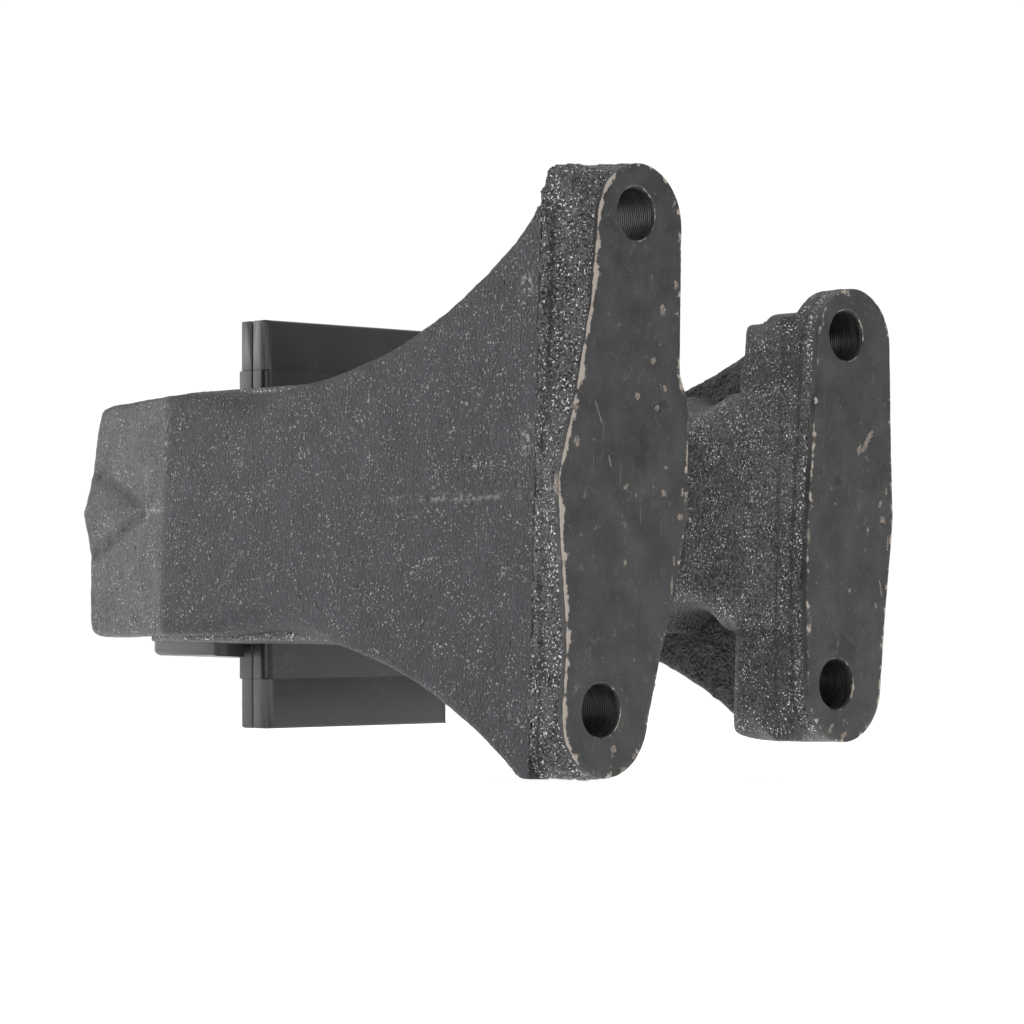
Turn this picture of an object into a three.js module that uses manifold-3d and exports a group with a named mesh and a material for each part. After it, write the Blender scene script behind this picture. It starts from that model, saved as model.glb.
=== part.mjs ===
// Cast two-branch bracket with bolting flanges and a smooth rectangular insert between the branches.
// Millimetres. +X is the outward normal of both bolting faces, +Y runs from the near branch to the
// far branch, +Z runs along the flanges. The origin lies on the near flange's bolting face.
import * as THREE from 'three';
import { mergeVertices } from 'three/addons/utils/BufferGeometryUtils.js';
import Module from 'manifold-3d';

const wasm = await Module();
wasm.setup();

// Driving dimensions
const gap = 0.3; // joint between touching pieces
const padDepth = 8.4; // depth of both flange pads
const boltHole = 11; // clearance hole for an M10 bolt
const rootX = -128; // where the straight branches end
const headX = -171; // back of the casting
const headSlant = 12.6; // how far the slanted end leans inwards, along Y

const near = {
  outerY: -16, wall: 5.6, innerY: 19.5, rootY: 8.6,
  neckTop: 27.2, neckBottom: -27.4, tangentX: -93, arcTop: 122, arcBottom: 127,
  limitTop: 61, limitBottom: -56, ribTop: 28.2, ribBottom: -28.6,
};
const far = {
  outerY: 86, wall: 6, innerY: 59, rootY: 71,
  neckTop: 27.2, neckBottom: -26.4, tangentX: -93, arcTop: 118, arcBottom: 91,
  limitTop: 44, limitBottom: -43, ribTop: 29.5, ribBottom: -24,
};
const nearFlange = {
  y: -0.3, z: 9.1, lean: 4, pitch: 102.2, lugRadius: 12.4, lugOffset: 1.4, top: 49.4, bottom: -52.4,
  leftFlank: [[-11.2, 31], [-14, 10.3], [-17, -6], [-14.6, -20], [-11.2, -38]],
  rightFlank: [[16, -39], [19.4, -25], [21.3, -8], [19.4, 14.5], [16.2, 20]],
};
const farFlange = {
  y: 69.1, z: 2.8, lean: 0.9, pitch: 75.8, lugRadius: 12.1, lugOffset: 2.6, top: 36.4, bottom: -38.4,
  leftFlank: [[-10, 17], [-11.1, -6], [-10.8, -20]],
  rightFlank: [[15.8, -20], [17.4, -2], [15.9, 17]],
};
const nearFoot = { left: -16.3, right: 17.5, top: 70.6, bottom: -56.2, leftCorner: 4.5, rightCorner: 14 };
const nearLug = { depth: 14, blockBack: -19, blockY: 13 }; // bolt lugs, and the block between them
const farLug = { back: -26, top: 44.8, bottom: -47.8, corner: 5 };
const nearNotch = { radius: 13, top: [-33.5, 40], bottom: [-34, -42] };
const farNotch = { radius: 13.2, top: [-37.8, 40], bottom: [-40.2, -32.2] };

const plate = {
  left: 10.7, right: 68.3, top: 45.9, bottom: -48.4, frontX: -124, front: 4.8, back: 3.8,
  tilt: 2, seamTop: 34.4, seamBottom: -37, bandProud: 0.8,
};
const core = { frontX: -128.4, backX: -151.1, left: -1, right: 73, top: 26.2, bottom: -31.6 };
const headEnd = 8; // how far before the back of the casting the slanted walls stop thickening
const farEar = { backX: -19, top: 36, bottom: -37 }; // where the far wall is cut back beside its flange

// Solids
function toSolid(geometry) {
  const bare = geometry.clone();
  bare.deleteAttribute('normal');
  bare.deleteAttribute('uv');
  const merged = mergeVertices(bare, 1e-4);
  return new wasm.Manifold(new wasm.Mesh({
    numProp: 3,
    vertProperties: new Float32Array(merged.attributes.position.array),
    triVerts: new Uint32Array(merged.index.array),
  }));
}

function toGeometry(solid) {
  const mesh = solid.getMesh();
  const geometry = new THREE.BufferGeometry();
  geometry.setAttribute('position', new THREE.BufferAttribute(new Float32Array(mesh.vertProperties), 3));
  geometry.setIndex(new THREE.BufferAttribute(new Uint32Array(mesh.triVerts), 1));
  geometry.computeVertexNormals();
  return geometry;
}

function cut(solid, ...tools) {
  return tools.reduce((left, tool) => left.subtract(tool), solid);
}

// A shape drawn in X and Z, filling the space between two Y planes
function slabAlongY(shape, fromY, toY, segments = 20) {
  const geometry = new THREE.ExtrudeGeometry(shape, {
    depth: toY - fromY, bevelEnabled: false, curveSegments: segments,
  });
  geometry.rotateX(Math.PI / 2);
  geometry.translate(0, toY, 0);
  return toSolid(geometry);
}

// A plan shape drawn in X and Y, filling the space between two Z planes
function slabAlongZ(shape, fromZ, toZ, segments = 6) {
  const geometry = new THREE.ExtrudeGeometry(shape, {
    depth: toZ - fromZ, bevelEnabled: false, curveSegments: segments,
  });
  geometry.translate(0, 0, fromZ);
  return toSolid(geometry);
}

function box(fromX, toX, fromY, toY, fromZ, toZ) {
  const geometry = new THREE.BoxGeometry(toX - fromX, toY - fromY, toZ - fromZ);
  geometry.translate((fromX + toX) / 2, (fromY + toY) / 2, (fromZ + toZ) / 2);
  return toSolid(geometry);
}

function polygon(points) {
  return new THREE.Shape(points.map(([x, y]) => new THREE.Vector2(x, y)));
}

function roundedRectangle(left, right, bottom, top, radius) {
  const shape = new THREE.Shape();
  shape.moveTo(right, bottom + radius);
  shape.absarc(right - radius, top - radius, radius, 0, Math.PI / 2, false);
  shape.absarc(left + radius, top - radius, radius, Math.PI / 2, Math.PI, false);
  shape.absarc(left + radius, bottom + radius, radius, Math.PI, Math.PI * 1.5, false);
  shape.absarc(right - radius, bottom + radius, radius, Math.PI * 1.5, Math.PI * 2, false);
  return shape;
}

// Side view of a branch: a parallel neck that flares on two arcs towards the flange
function fanOutline(branch, fromX, toX) {
  const { neckTop: high, neckBottom: low, tangentX, arcTop, arcBottom } = branch;
  const quarter = Math.PI / 2;
  const sweepTop = Math.asin((toX - tangentX) / arcTop);
  const sweepBottom = Math.asin((toX - tangentX) / arcBottom);
  const shape = new THREE.Shape();
  shape.moveTo(fromX, low);
  shape.lineTo(tangentX, low);
  shape.absarc(tangentX, low - arcBottom, arcBottom, quarter, quarter - sweepBottom, true);
  shape.lineTo(toX, high + arcTop * (1 - Math.cos(sweepTop)));
  shape.absarc(tangentX, high + arcTop, arcTop, sweepTop - quarter, -quarter, true);
  shape.lineTo(fromX, high);
  return shape;
}

// Face of a flange: two round lugs joined by flanks that swell at the parting plane
function flangeFace(flange) {
  const { lugRadius: r, lugOffset: u, top, bottom, leftFlank, rightFlank } = flange;
  const shape = new THREE.Shape();
  shape.moveTo(u + r, top);
  shape.absarc(u, top, r, 0, Math.PI, false);
  for (const [y, z] of leftFlank) shape.lineTo(y, z);
  shape.absarc(u, bottom, r, Math.PI, Math.PI * 2, false);
  for (const [y, z] of rightFlank) shape.lineTo(y, z);
  return shape;
}

// A closed skin between two outlines with the same number of points, at two X planes
function loft(frontPoints, frontX, backPoints, rearX) {
  const count = frontPoints.length;
  const positions = [];
  for (const point of frontPoints) positions.push(frontX, point.x, point.y);
  for (const point of backPoints) positions.push(rearX, point.x, point.y);
  const index = [];
  for (const [a, b, c] of THREE.ShapeUtils.triangulateShape(frontPoints, [])) index.push(a, b, c);
  for (const [a, b, c] of THREE.ShapeUtils.triangulateShape(backPoints, [])) {
    index.push(count + a, count + c, count + b);
  }
  for (let i = 0; i < count; i += 1) {
    const j = (i + 1) % count;
    index.push(i, count + i, j, j, count + i, count + j);
  }
  const geometry = new THREE.BufferGeometry();
  geometry.setAttribute('position', new THREE.Float32BufferAttribute(positions, 3));
  geometry.setIndex(index);
  return toSolid(geometry);
}

// Points of a flange outline, turned by its lean and moved to its place in Y and Z
function placed(points, flange) {
  const angle = THREE.MathUtils.degToRad(-flange.lean);
  const middle = new THREE.Vector2(flange.y, flange.z);
  return points.map((point) => point.clone().rotateAround(new THREE.Vector2(), angle).add(middle));
}

// Points round a closed outline, no further apart than the step
function outlinePoints(shape, divisions = 8, step = 6) {
  const corners = shape.getPoints(divisions);
  if (corners[0].distanceTo(corners[corners.length - 1]) < 1e-3) corners.pop();
  const points = [];
  corners.forEach((corner, i) => {
    const next = corners[(i + 1) % corners.length];
    const parts = Math.max(1, Math.ceil(corner.distanceTo(next) / step));
    for (let k = 0; k < parts; k += 1) points.push(corner.clone().lerp(next, k / parts));
  });
  return points;
}

// The two bolt holes of a flange, as cutters
function boltCutters(flange) {
  return [-1, 1].map((side) => {
    const [centre] = placed([new THREE.Vector2(0, (side * flange.pitch) / 2)], flange);
    const geometry = new THREE.CylinderGeometry(boltHole / 2, boltHole / 2, 60, 28);
    geometry.rotateZ(Math.PI / 2);
    geometry.translate(0, centre.x, centre.y);
    return toSolid(geometry);
  });
}

// Foot of the near pad: square-cornered on its outer side, round on its inner side
function footOutline({ left, right, top, bottom, leftCorner: l, rightCorner: r }) {
  const shape = new THREE.Shape();
  shape.moveTo(right, bottom + r);
  shape.absarc(right - r, top - r, r, 0, Math.PI / 2, false);
  shape.absarc(left + l, top - l, l, Math.PI / 2, Math.PI, false);
  shape.absarc(left + l, bottom + l, l, Math.PI, Math.PI * 1.5, false);
  shape.absarc(right - r, bottom + r, r, Math.PI * 1.5, Math.PI * 2, false);
  return shape;
}

// Where the ray from the middle through a point crosses a closed outline
function castOnto(outline, middle, point) {
  const ray = point.clone().sub(middle);
  let hit = point.clone();
  for (let i = 0; i < outline.length; i += 1) {
    const start = outline[i].clone().sub(middle);
    const side = outline[(i + 1) % outline.length].clone().sub(middle).sub(start);
    const spread = ray.cross(side);
    if (Math.abs(spread) < 1e-9) continue;
    const along = start.cross(side) / spread;
    const across = start.cross(ray) / spread;
    if (along > 0 && across >= 0 && across <= 1) hit = middle.clone().addScaledVector(ray, along);
  }
  return hit;
}

function nearFlangePad() {
  const face = placed(outlinePoints(flangeFace(nearFlange)), nearFlange);
  const middle = new THREE.Vector2(nearFlange.y, nearFlange.z);
  const foot = outlinePoints(footOutline(nearFoot), 8);
  const back = face.map((point) => castOnto(foot, middle, point));
  return cut(loft(face, 0, back, -padDepth), ...boltCutters(nearFlange));
}

function farFlangePad() {
  const face = placed(outlinePoints(flangeFace(farFlange)), farFlange);
  return cut(loft(face, 0, face, -padDepth), ...boltCutters(farFlange));
}

// Smooth core of the insert, grown on every side when it is used as a cutter
function insertCore(grow = 0) {
  const shoulderX = plate.frontX - plate.front - plate.back - plate.bandProud - gap * 2;
  const plateLeft = near.rootY + gap;
  const plateRight = far.rootY;
  const plan = polygon([
    [core.backX - grow, core.left - grow],
    [core.frontX + grow, core.left - grow],
    [core.frontX + grow, plateLeft + grow],
    [shoulderX + grow, plateLeft + grow],
    [shoulderX + grow, plateRight - grow],
    [core.frontX + grow, plateRight - grow],
    [core.frontX + grow, core.right + grow],
    [core.backX - grow, core.right + grow],
  ]);
  return slabAlongZ(plan, core.bottom - grow, core.top + grow);
}

// Everything between the insert's two sides, over the full height of the casting
function insertRoom(grow) {
  return box(core.backX - grow, core.frontX + grow, core.left - grow, core.right + grow, -60, 60);
}

// Shapes drawn for the near side, mirrored for the far side, keep their points anticlockwise
function sidedPlan(points, sign) {
  return polygon(sign > 0 ? points : points.reverse());
}

// Inner face of a branch's slanted wall, at an X behind the root
function slantedInnerY(branch, sign, x) {
  const inner = branch.outerY + sign * branch.wall;
  const end = branch.outerY + sign * (headSlant + 6);
  return THREE.MathUtils.mapLinear(x, rootX, headX + headEnd, inner, end);
}

// Outer wall of a branch, with its slanted end
function branchWall(branch, sign) {
  const inner = branch.outerY + sign * branch.wall;
  const frontX = -padDepth - gap;
  const plan = sidedPlan([
    [frontX, branch.outerY],
    [frontX, inner],
    [rootX, inner],
    [headX + headEnd, branch.outerY + sign * (headSlant + 6)],
    [headX, branch.outerY + sign * (headSlant + 6)],
    [headX, branch.outerY + sign * (headSlant + 1)],
    [headX + 1, branch.outerY + sign * headSlant],
    [rootX, branch.outerY],
  ], sign);
  const side = slabAlongY(fanOutline(branch, headX - 2, frontX + 1), -30, 100);
  const tall = slabAlongZ(plan, branch.limitBottom, branch.limitTop);
  return cut(tall.intersect(side), insertCore(gap));
}

// Blocks that keep the far wall's front end inside the outline of its flange
function earCutters() {
  return [[farEar.top, 80], [-80, farEar.bottom]].map(([low, high]) => box(farEar.backX, 5, 40, 100, low, high));
}

// Neck of a rib: straight, tapered in plan from the flange to the insert, and filling the space
// beside the insert
function ribNeck(branch, sign) {
  const frontX = -padDepth - gap;
  const wallSide = branch.outerY + sign * (branch.wall + gap);
  const endX = core.backX + 2;
  const plan = sidedPlan([
    [frontX, wallSide],
    [frontX, branch.innerY],
    [-44, branch.innerY],
    [-112, branch.rootY],
    [endX, branch.rootY],
    [endX, slantedInnerY(branch, sign, endX) + sign * gap],
    [rootX, wallSide],
  ], sign);
  const bottom = Math.max(branch.ribBottom, core.bottom);
  return cut(slabAlongZ(plan, bottom, branch.ribTop), insertCore(gap), insertRoom(gap));
}

// Round cutters that leave room for a wrench behind each bolt lug
function notchCutters({ radius, top, bottom }) {
  return [top, bottom].map(([x, z]) => {
    const geometry = new THREE.CylinderGeometry(radius, radius, 200, 36);
    geometry.translate(x, 0, z);
    return toSolid(geometry);
  });
}

function nearRib() {
  const frontX = -padDepth - gap;
  const face = placed(outlinePoints(flangeFace(nearFlange)), nearFlange);
  const wallSide = near.outerY + near.wall + gap;
  const lugs = loft(face, frontX, face, -nearLug.depth);
  const fan = slabAlongY(fanOutline(near, rootX, frontX), wallSide, nearLug.blockY);
  const block = fan.intersect(box(nearLug.blockBack, 10, -30, 30, near.limitBottom + 3, near.limitTop - 6));
  const inside = box(-60, frontX, wallSide, near.innerY, near.limitBottom, nearFoot.top);
  const whole = ribNeck(near, 1).add(lugs.intersect(inside)).add(block);
  return cut(whole, ...notchCutters(nearNotch), ...boltCutters(nearFlange));
}

function farRib() {
  const frontX = -padDepth - gap;
  const wallSide = far.outerY - far.wall - gap;
  const outline = roundedRectangle(farLug.back, frontX + 20, farLug.bottom, farLug.top, farLug.corner);
  const room = box(-60, frontX, 40, 90, -80, 80);
  const block = slabAlongY(outline, far.innerY, wallSide, 5).intersect(room);
  const whole = ribNeck(far, -1).add(block);
  return cut(whole, ...notchCutters(farNotch), ...boltCutters(farFlange));
}

// Cast wall that joins the two branches behind the insert, between their slanted walls
function bridge() {
  const frontX = core.backX - gap;
  const plan = polygon([
    [headX, near.outerY + headSlant + 6 + gap],
    [headX + headEnd, near.outerY + headSlant + 6 + gap],
    [frontX, slantedInnerY(near, 1, frontX) + gap],
    [frontX, slantedInnerY(far, -1, frontX) - gap],
    [headX + headEnd, far.outerY - headSlant - 6 - gap],
    [headX, far.outerY - headSlant - 6 - gap],
  ].reverse());
  return slabAlongZ(plan, near.neckBottom + 1, near.neckTop - 1);
}

// One block of the insert's plate, between two seams
function plateBlock(fromZ, toZ, startX, depth) {
  return box(startX - depth, startX, plate.left, plate.right, fromZ, toZ);
}

const castFinish = { color: 0x4a4a50, roughness: 0.62, metalness: 0.45 };
const faceFinish = { color: 0x454545, roughness: 0.48, metalness: 0.5 };
const smoothFinish = { color: 0x37373a, roughness: 0.5, metalness: 0.1 };

const group = new THREE.Group();
const tiltedPlate = new THREE.Group();
tiltedPlate.rotation.x = THREE.MathUtils.degToRad(plate.tilt);
group.add(tiltedPlate);

function addPiece(parent, name, solid, finish) {
  const mesh = new THREE.Mesh(toGeometry(solid), new THREE.MeshStandardMaterial(finish));
  mesh.name = name;
  parent.add(mesh);
}

addPiece(group, 'near_flange', nearFlangePad(), faceFinish);
addPiece(group, 'far_flange', farFlangePad(), faceFinish);
addPiece(group, 'near_outer_wall', branchWall(near, 1), castFinish);
addPiece(group, 'far_outer_wall', cut(branchWall(far, -1), ...earCutters()), castFinish);
addPiece(group, 'near_rib', nearRib(), castFinish);
addPiece(group, 'far_rib', farRib(), castFinish);
addPiece(group, 'back_bridge', bridge(), castFinish);
addPiece(group, 'insert_core', insertCore(), smoothFinish);

const half = gap / 2;
const bands = {
  upper: [plate.seamTop + half, plate.top, 0],
  middle: [plate.seamBottom + half, plate.seamTop - half, plate.bandProud],
  lower: [plate.bottom, plate.seamBottom - half, 0],
};
const backStartX = plate.frontX - plate.front - gap;
for (const [band, [fromZ, toZ, proud]] of Object.entries(bands)) {
  addPiece(tiltedPlate, `${band}_face_block`, plateBlock(fromZ, toZ, plate.frontX, plate.front), smoothFinish);
  addPiece(tiltedPlate, `${band}_backing`, plateBlock(fromZ, toZ, backStartX, plate.back + proud), smoothFinish);
}

export default group;
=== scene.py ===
import math
import bmesh
import bpy
import numpy as np
from mathutils import Matrix, Vector


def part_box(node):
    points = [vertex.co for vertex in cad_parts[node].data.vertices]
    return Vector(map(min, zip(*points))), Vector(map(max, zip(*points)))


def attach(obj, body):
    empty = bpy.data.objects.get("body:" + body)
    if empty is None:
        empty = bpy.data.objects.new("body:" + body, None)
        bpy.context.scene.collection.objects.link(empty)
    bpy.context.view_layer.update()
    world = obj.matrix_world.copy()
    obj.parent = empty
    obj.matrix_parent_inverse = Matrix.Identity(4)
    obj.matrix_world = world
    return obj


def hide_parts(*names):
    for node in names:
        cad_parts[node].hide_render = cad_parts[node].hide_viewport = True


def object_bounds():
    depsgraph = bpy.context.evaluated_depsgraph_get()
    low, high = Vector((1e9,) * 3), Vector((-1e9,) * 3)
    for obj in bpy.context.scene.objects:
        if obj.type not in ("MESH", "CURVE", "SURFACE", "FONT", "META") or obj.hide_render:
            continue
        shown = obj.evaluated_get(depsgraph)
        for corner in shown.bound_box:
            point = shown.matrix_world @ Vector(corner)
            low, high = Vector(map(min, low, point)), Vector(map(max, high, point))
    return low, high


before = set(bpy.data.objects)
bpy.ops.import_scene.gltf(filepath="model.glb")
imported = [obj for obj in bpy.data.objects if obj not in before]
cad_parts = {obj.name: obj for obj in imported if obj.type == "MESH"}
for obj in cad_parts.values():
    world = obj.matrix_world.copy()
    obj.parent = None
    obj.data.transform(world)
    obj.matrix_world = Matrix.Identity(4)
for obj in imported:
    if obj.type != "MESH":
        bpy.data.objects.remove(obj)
cadLow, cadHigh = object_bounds()
mm = 0.001

# camera and studio
cameraView = {
    "place": (0.511303, -0.524135, -0.040281), "right": (0.69533, 0.71833, 0.02266),
    "up": (0.02188, -0.05267, 0.99837), "back": (0.71835, -0.69371, -0.05234), "lens": 126.5625,
}
studio = {
    "skyLight": 0.25, "skySeen": 1.02, "overhead": 1.5, "overheadSpread": 120,
    "floorTone": 0.5, "floorSize": 6.0, "floorGlow": 0.88, "floorRoughness": 0.95, "floorGloss": 0.1,
    "floorDrop": 0.2 * mm,
    "panels": [  # name, direction from the object, distance, size, brightness
        ("keyPanel", (-0.9, -0.42, 0.05), 1.3, 1.2, 2.3),
        ("sidePanel", (0.66, -0.72, 0.2), 1.6, 0.8, 1.45),
        ("rimPanel", (0.62, 0.72, 0.3), 1.4, 0.9, 0.1),
    ],
}


def makeStudio():
    values = studio
    camera = bpy.data.objects.new("camera", bpy.data.cameras.new("camera"))
    bpy.context.scene.collection.objects.link(camera)
    columns = (cameraView["right"], cameraView["up"], cameraView["back"])
    camera.matrix_world = Matrix.Translation(cameraView["place"]) @ Matrix(columns).transposed().to_4x4()
    camera.data.lens = cameraView["lens"]
    camera.data.sensor_width = 36
    bpy.context.scene.camera = camera

    world = bpy.data.worlds.new("studioSky")
    world.use_nodes = True
    tree = world.node_tree
    sky = tree.nodes["Background"]
    path = tree.nodes.new("ShaderNodeLightPath")
    strength = tree.nodes.new("ShaderNodeMapRange")  # white to look at, softer as a light
    strength.inputs["To Min"].default_value = values["skyLight"]
    strength.inputs["To Max"].default_value = values["skySeen"]
    tree.links.new(path.outputs["Is Camera Ray"], strength.inputs["Value"])
    tree.links.new(strength.outputs["Result"], sky.inputs["Strength"])
    sky.inputs["Color"].default_value = (1, 1, 1, 1)
    bpy.context.scene.world = world
    bpy.context.scene.view_settings.view_transform = "Standard"

    middle = (cadLow + cadHigh) / 2
    for name, direction, distance, size, brightness in values["panels"]:
        light = bpy.data.lights.new(name, "AREA")
        light.size = size
        light.energy = math.pi * size * size * brightness
        lamp = bpy.data.objects.new(name, light)
        toward = Vector(direction).normalized()
        lamp.location = middle + toward * distance
        lamp.rotation_euler = toward.to_track_quat("Z", "Y").to_euler()
        bpy.context.scene.collection.objects.link(lamp)
    sun = bpy.data.lights.new("overhead", "SUN")
    sun.energy = values["overhead"]
    sun.angle = math.radians(values["overheadSpread"])
    bpy.context.scene.collection.objects.link(bpy.data.objects.new("overhead", sun))

    half = values["floorSize"] / 2
    mesh = bpy.data.meshes.new("floor")
    corners = [(-half, -half), (half, -half), (half, half), (-half, half)]
    mesh.from_pydata([(x, y, cadLow.z - values["floorDrop"]) for x, y in corners], [], [(0, 1, 2, 3)])
    floor = bpy.data.objects.new("floor", mesh)
    bpy.context.scene.collection.objects.link(floor)
    paper = bpy.data.materials.new("palePaper")
    paper.use_nodes = True
    surface = paper.node_tree.nodes["Principled BSDF"]
    surface.inputs["Base Color"].default_value = (*[values["floorTone"]] * 3, 1)
    surface.inputs["Roughness"].default_value = values["floorRoughness"]
    surface.inputs["Specular IOR Level"].default_value = values["floorGloss"]
    surface.inputs["Emission Color"].default_value = (1, 1, 1, 1)
    surface.inputs["Emission Strength"].default_value = values["floorGlow"]
    mesh.materials.append(paper)


makeStudio()
print("studio ready")


# node helpers
def node(tree, kind, inputs=None, **settings):
    made = tree.nodes.new(kind)
    for name, value in settings.items():
        setattr(made, name, value)
    for key, value in (inputs or {}).items():
        if isinstance(value, bpy.types.NodeSocket):
            tree.links.new(value, made.inputs[key])
        else:
            made.inputs[key].default_value = value
    return made


def maths(tree, operation, first, second=0.0, clamp=False):
    made = node(tree, "ShaderNodeMath", {0: first, 1: second}, operation=operation, use_clamp=clamp)
    return made.outputs[0]


def remap(tree, value, low, high, toLow=0.0, toHigh=1.0):
    return node(tree, "ShaderNodeMapRange", {0: value, 1: low, 2: high, 3: toLow, 4: toHigh}).outputs[0]


def blendColor(tree, factor, first, second):
    return node(tree, "ShaderNodeMix", {0: factor, 6: first, 7: second}, data_type="RGBA").outputs[2]


def noise(tree, coords, scale, detail, roughness=0.5, distortion=0.0):
    made = node(tree, "ShaderNodeTexNoise", {"Vector": coords, "Scale": scale, "Detail": detail,
                                             "Roughness": roughness, "Distortion": distortion})
    return made.outputs[0]


def newGroup(name, kind, inputs, outputs):
    tree = bpy.data.node_groups.new(name, kind)
    for direction, sockets in (("INPUT", inputs), ("OUTPUT", outputs)):
        for label, socketKind, *value in sockets:
            made = tree.interface.new_socket(label, in_out=direction, socket_type="NodeSocket" + socketKind)
            if value:
                made.default_value = value[0]
    return tree, tree.nodes.new("NodeGroupInput").outputs, tree.nodes.new("NodeGroupOutput").inputs


def gray(level, tint=(1.0, 1.0, 1.0)):
    return (level * tint[0], level * tint[1], level * tint[2], 1)


# shared effects
def makeCastSkin():
    # sand cast surface under thin paint: fine strokes, bright specks that are painted glints, and small pits
    # painted darker as painted shade
    tree, given, out = newGroup(
        "castSkin", "ShaderNodeTree",
        [("Dark", "Color"), ("Light", "Color"), ("Speck", "Color"), ("Grain Scale", "Float", 1400.0),
         ("Stroke", "Float", 0.6), ("Speck Scale", "Float", 2000.0), ("Speck Level", "Float", 0.7),
         ("Pit Share", "Float", 0.02), ("Base Roughness", "Float", 0.5)],
        [("Color", "Color"), ("Roughness", "Float"), ("Height", "Float")],
    )
    coords = node(tree, "ShaderNodeTexCoord").outputs["Object"]
    stroke = node(tree, "ShaderNodeCombineXYZ", {0: 1.0, 1: 1.0, 2: given["Stroke"]}).outputs[0]
    stretched = node(tree, "ShaderNodeVectorMath", {0: coords, 1: stroke}, operation="MULTIPLY").outputs[0]
    fine = noise(tree, stretched, given["Grain Scale"], 2.5, 0.6)
    patchy = noise(tree, coords, 110.0, 3.0)
    tone = maths(tree, "MULTIPLY", remap(tree, fine, 0.4, 0.62), 0.85)
    tone = maths(tree, "ADD", tone, remap(tree, patchy, 0.35, 0.7, -0.05, 0.2), True)
    color = blendColor(tree, tone, given["Dark"], given["Light"])

    # bright specks: painted glints of light on the grainy paint, put into the colour
    flecks = noise(tree, coords, given["Speck Scale"], 1.2)
    cluster = noise(tree, coords, 190.0, 2.0)
    level = maths(tree, "ADD", flecks, remap(tree, cluster, 0.35, 0.65, -0.03, 0.04))
    over = maths(tree, "SUBTRACT", level, given["Speck Level"])
    paintedGlint = remap(tree, over, 0.0, 0.03)
    color = blendColor(tree, paintedGlint, color, given["Speck"])

    holes = node(tree, "ShaderNodeTexVoronoi", {"Vector": coords, "Scale": 420.0})
    pick = node(tree, "ShaderNodeSeparateColor", {0: holes.outputs["Color"]}).outputs["Blue"]
    deep = remap(tree, holes.outputs["Distance"], 0.08, 0.24, 1.0, 0.0)
    pit = maths(tree, "MULTIPLY", maths(tree, "LESS_THAN", pick, given["Pit Share"]), deep)
    # the pits are also painted near black: painted shade in the hollows
    color = blendColor(tree, maths(tree, "MULTIPLY", pit, 0.85), color, gray(0.004))

    tree.links.new(color, out["Color"])
    rough = maths(tree, "ADD", given["Base Roughness"], remap(tree, fine, 0.3, 0.7, -0.12, 0.14))
    tree.links.new(maths(tree, "SUBTRACT", rough, maths(tree, "MULTIPLY", paintedGlint, 0.15)), out["Roughness"])
    height = maths(tree, "ADD", remap(tree, fine, 0.25, 0.75), maths(tree, "MULTIPLY", paintedGlint, 0.7))
    height = maths(tree, "ADD", height, maths(tree, "MULTIPLY", patchy, 0.8))
    tree.links.new(maths(tree, "SUBTRACT", height, maths(tree, "MULTIPLY", pit, 1.6)), out["Height"])
    return tree


def makeChippedSpots():
    # ragged spots where paint is missing: puts out one mask for a distance measured in spot sizes
    tree, given, out = newGroup(
        "chippedSpots", "ShaderNodeTree",
        [("Distance", "Float", 1.0), ("Ragged", "Float", 0.7), ("Scale", "Float", 900.0)], [("Mask", "Float")],
    )
    coords = node(tree, "ShaderNodeTexCoord").outputs["Object"]
    uneven = maths(tree, "SUBTRACT", noise(tree, coords, given["Scale"], 4.0, 0.65), 0.5)
    shift = maths(tree, "MULTIPLY", uneven, maths(tree, "MULTIPLY", given["Ragged"], 4.0))
    tree.links.new(remap(tree, maths(tree, "ADD", given["Distance"], shift), 0.75, 1.0, 1.0, 0.0), out["Mask"])
    return tree


def makeHairScratches():
    # sparse fine scratches in two directions on a flat face that looks along X
    tree, given, out = newGroup(
        "hairScratches", "ShaderNodeTree",
        [("Amount", "Float", 0.5), ("Scale", "Float", 60.0)], [("Mask", "Float")],
    )
    coords = node(tree, "ShaderNodeTexCoord").outputs["Object"]
    total = None
    for turn, shift in ((0.5, 0.0), (-0.7, 7.0), (1.2, 3.0)):
        laid = node(tree, "ShaderNodeMapping", {"Vector": coords, "Location": (0, shift, 0),
                                                "Rotation": (turn, 0, 0), "Scale": (1, 1, 0.07)}).outputs[0]
        lines = noise(tree, laid, 1500.0, 1.0)
        where = node(tree, "ShaderNodeTexNoise",
                     {"Vector": coords, "Scale": given["Scale"], "W": shift, "Detail": 2.0},
                     noise_dimensions="4D").outputs[0]
        thin = remap(tree, lines, 0.67, 0.74)
        mask = maths(tree, "MULTIPLY", thin, remap(tree, where, 0.54, 0.66))
        total = mask if total is None else maths(tree, "MAXIMUM", total, mask)
    tree.links.new(maths(tree, "MULTIPLY", total, given["Amount"]), out["Mask"])
    return tree


castSkin = makeCastSkin()
chippedSpots = makeChippedSpots()
hairScratches = makeHairScratches()


def grouped(tree, group, values):
    made = node(tree, "ShaderNodeGroup", node_tree=group)
    for key, value in values.items():
        if isinstance(value, bpy.types.NodeSocket):
            tree.links.new(value, made.inputs[key])
        else:
            made.inputs[key].default_value = value
    return made.outputs


def startMaterial(name):
    material = bpy.data.materials.new(name)
    material.use_nodes = True
    return material, material.node_tree, material.node_tree.nodes["Principled BSDF"]


# crease: the colour of painted shade in creases and pits; bare: worn paint showing the metal
castWearAndShade = {"scale": 900.0, "crease": gray(0.006), "bare": gray(0.42, (1.0, 0.95, 0.88)), "gloss": 0.55}


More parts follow.
